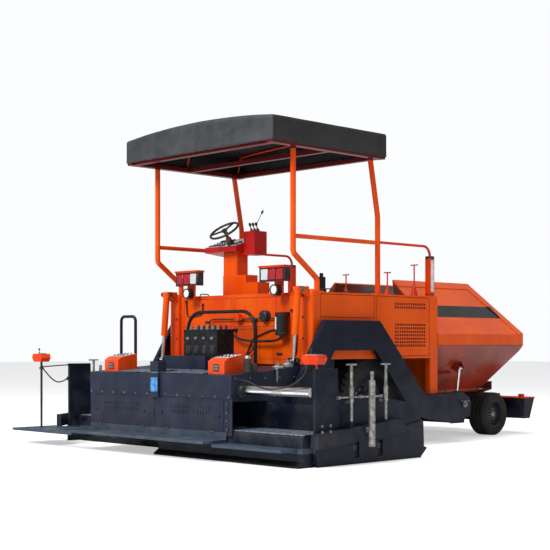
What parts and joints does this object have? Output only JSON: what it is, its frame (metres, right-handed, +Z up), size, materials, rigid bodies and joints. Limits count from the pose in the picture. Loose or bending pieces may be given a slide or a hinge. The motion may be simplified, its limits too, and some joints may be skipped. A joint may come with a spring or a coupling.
{
  "type": "wheeled asphalt paver",
  "caption": "Wheeled asphalt paver with folding hopper wings, canopy, augers and a telescopic screed on two tow arms.",
  "frame": {"origin": "on the ground under the middle of the machine's box", "axes": "+Y forwards, +Z up, +X to the machine's right"},
  "size_m": [5.04, 6.2, 3.8],
  "materials": {
    "black_plastic": "black plastic",
    "chrome": "hard chrome",
    "dark_steel": "dark worn steel",
    "engine": "grey cast iron",
    "exhaust": "steel",
    "navy": "dark navy enamel",
    "orange": "gloss enamel, orange",
    "orange_frame": "gloss enamel, orange-red",
    "rim": "painted rim",
    "rubber": "black hose rubber",
    "seat": "black seat vinyl",
    "slate": "slate-blue enamel on tread plate",
    "tyre": "black rubber",
    "vinyl": "black coated fabric"
  },
  "bodies": {
    "left_rear_wheel": {"left_rear_tyre": "tyre", "left_rear_rim": "rim"},
    "left_front_wheel": {"left_front_tyre": "tyre", "left_front_rim": "rim"},
    "left_steer": {"left_knuckle": "dark_steel"},
    "left_wing": {"left_hopper_wing": "orange"},
    "left_wing_barrel": {"left_wing_barrel": "dark_steel"},
    "left_wing_rod": {"left_wing_rod": "chrome"},
    "left_auger": {"left_auger": "dark_steel"},
    "left_lift_barrel": {"left_lift_barrel": "orange"},
    "left_lift_rod": {"left_lift_rod": "chrome"},
    "left_screed_box": {"left_extension": "navy", "left_guide_tube": "chrome", "left_end_gate": "navy", "left_remote": "orange_frame", "left_cable": "rubber"},
    "right_rear_wheel": {"right_rear_tyre": "tyre", "right_rear_rim": "rim"},
    "right_front_wheel": {"right_front_tyre": "tyre", "right_front_rim": "rim"},
    "right_steer": {"right_knuckle": "dark_steel"},
    "right_wing": {"right_hopper_wing": "orange"},
    "right_wing_barrel": {"right_wing_barrel": "dark_steel"},
    "right_wing_rod": {"right_wing_rod": "chrome"},
    "right_auger": {"right_auger": "dark_steel"},
    "right_lift_barrel": {"right_lift_barrel": "orange"},
    "right_lift_rod": {"right_lift_rod": "chrome"},
    "right_screed_box": {"right_extension": "navy", "right_guide_tube": "chrome", "right_end_gate": "navy", "right_remote": "orange_frame"},
    "push_rollers": {"push_rollers": "dark_steel"},
    "steering_wheel": {"steering_wheel": "black_plastic"},
    "screed": {"tow_arms": "navy", "screed_frame": "navy", "walkboard": "slate", "screed_controls": "orange", "guard_hoops": "navy", "right_cable": "rubber"},
    "tractor": {"canopy_cover": "vinyl", "canopy_frame": "orange_frame", "console": "orange_frame", "conveyor": "dark_steel", "engine": "engine", "engine_hood": "orange", "exhaust_stack": "exhaust", "front_axle": "navy", "gate_cranks": "orange_frame", "handrails": "orange_frame", "hopper_frame": "orange", "main_frame": "navy", "operator_platform": "orange", "operator_seat": "seat", "outriggers": "navy", "push_beam": "orange_frame", "rear_axle": "navy", "rear_hoses": "rubber", "rear_lamps": "orange_frame", "rear_panel": "orange_frame", "side_panels": "orange"}
  },
  "joints": [
    {"name": "left_rear_wheel_spin", "type": "hinge", "parent": "tractor", "child": "left_rear_wheel", "pos_m": [-0.95, -0.4, 0.56], "axis": [1, 0, 0], "continuous": true},
    {"name": "right_rear_wheel_spin", "type": "hinge", "parent": "tractor", "child": "right_rear_wheel", "pos_m": [0.95, -0.4, 0.56], "axis": [1, 0, 0], "continuous": true},
    {"name": "left_steer", "type": "hinge", "parent": "tractor", "child": "left_steer", "pos_m": [-0.62, 2.29, 0.29], "axis": [0, 0, 1], "range_deg": [-30, 30]},
    {"name": "right_steer", "type": "hinge", "parent": "tractor", "child": "right_steer", "pos_m": [0.62, 2.29, 0.29], "axis": [0, 0, 1], "range_deg": [-30, 30]},
    {"name": "left_front_wheel_spin", "type": "hinge", "parent": "left_steer", "child": "left_front_wheel", "pos_m": [-0.85, 2.29, 0.29], "axis": [1, 0, 0], "continuous": true},
    {"name": "right_front_wheel_spin", "type": "hinge", "parent": "right_steer", "child": "right_front_wheel", "pos_m": [0.85, 2.29, 0.29], "axis": [1, 0, 0], "continuous": true},
    {"name": "steering_wheel_turn", "type": "hinge", "parent": "tractor", "child": "steering_wheel", "pos_m": [-0.5, -1.3, 2.63], "axis": [0, -0.5736, 0.8192], "range_deg": [-300, 300]},
    {"name": "left_wing_fold", "type": "hinge", "parent": "tractor", "child": "left_wing", "pos_m": [-0.76, 0, 0.62], "axis": [0, -1, 0], "range_deg": [0, 45]},
    {"name": "left_wing_cylinder", "type": "hinge", "parent": "tractor", "child": "left_wing_barrel", "pos_m": [-1, 1.34, 0.29], "axis": [0, -1, 0], "range_deg": [0, 25.9]},
    {"name": "left_wing_rod_slide", "type": "slide", "parent": "left_wing_barrel", "child": "left_wing_rod", "axis": [0.147, 0, -0.9891], "range_m": [0, 0.2678]},
    {"name": "right_wing_fold", "type": "hinge", "parent": "tractor", "child": "right_wing", "pos_m": [0.76, 0, 0.62], "axis": [0, 1, 0], "range_deg": [0, 45]},
    {"name": "right_wing_cylinder", "type": "hinge", "parent": "tractor", "child": "right_wing_barrel", "pos_m": [1, 1.34, 0.29], "axis": [0, 1, 0], "range_deg": [0, 25.9]},
    {"name": "right_wing_rod_slide", "type": "slide", "parent": "right_wing_barrel", "child": "right_wing_rod", "axis": [-0.147, 0, -0.9891], "range_m": [0, 0.2678]},
    {"name": "push_roller_spin", "type": "hinge", "parent": "tractor", "child": "push_rollers", "pos_m": [0, 3.042, 0.39], "axis": [1, 0, 0], "continuous": true},
    {"name": "left_auger_turn", "type": "hinge", "parent": "tractor", "child": "left_auger", "pos_m": [-0.6, -1.25, 0.38], "axis": [1, 0, 0], "continuous": true},
    {"name": "right_auger_turn", "type": "hinge", "parent": "tractor", "child": "right_auger", "pos_m": [0.6, -1.25, 0.38], "axis": [1, 0, 0], "continuous": true},
    {"name": "screed_lift", "type": "hinge", "parent": "tractor", "child": "screed", "pos_m": [0, 1.09, 0.48], "axis": [-1, 0, 0], "range_deg": [0, 5]},
    {"name": "left_lift_cylinder", "type": "hinge", "parent": "tractor", "child": "left_lift_barrel", "pos_m": [-1.15, -1.68, 1.85], "axis": [1, 0, 0], "range_deg": [0, 4]},
    {"name": "left_lift_rod_slide", "type": "slide", "parent": "left_lift_barrel", "child": "left_lift_rod", "axis": [0, 0.0866, 0.9962], "range_m": [0, 0.2493]},
    {"name": "left_box_slide", "type": "slide", "parent": "screed", "child": "left_screed_box", "axis": [1, 0, 0], "range_m": [0, 0.88]},
    {"name": "right_lift_cylinder", "type": "hinge", "parent": "tractor", "child": "right_lift_barrel", "pos_m": [1.15, -1.68, 1.85], "axis": [1, 0, 0], "range_deg": [0, 4]},
    {"name": "right_lift_rod_slide", "type": "slide", "parent": "right_lift_barrel", "child": "right_lift_rod", "axis": [0, 0.0866, 0.9962], "range_m": [0, 0.2493]},
    {"name": "right_box_slide", "type": "slide", "parent": "screed", "child": "right_screed_box", "axis": [-1, 0, 0], "range_m": [0, 0.88]}
  ],
  "couplings": [
    {"joint": "right_steer", "follows": "left_steer", "ratio": 1},
    {"joint": "steering_wheel_turn", "follows": "left_steer", "ratio": 10},
    {"joint": "left_wing_cylinder", "follows": "left_wing_fold", "ratio": 0.57371},
    {"joint": "left_wing_rod_slide", "follows": "left_wing_fold", "m_per_rad": 0.33969},
    {"joint": "right_wing_cylinder", "follows": "right_wing_fold", "ratio": 0.57371},
    {"joint": "right_wing_rod_slide", "follows": "right_wing_fold", "m_per_rad": 0.33969},
    {"joint": "left_lift_cylinder", "follows": "screed_lift", "ratio": 0.79023},
    {"joint": "left_lift_rod_slide", "follows": "screed_lift", "m_per_rad": 2.8456},
    {"joint": "right_lift_cylinder", "follows": "screed_lift", "ratio": 0.79023},
    {"joint": "right_lift_rod_slide", "follows": "screed_lift", "m_per_rad": 2.8456}
  ]
}
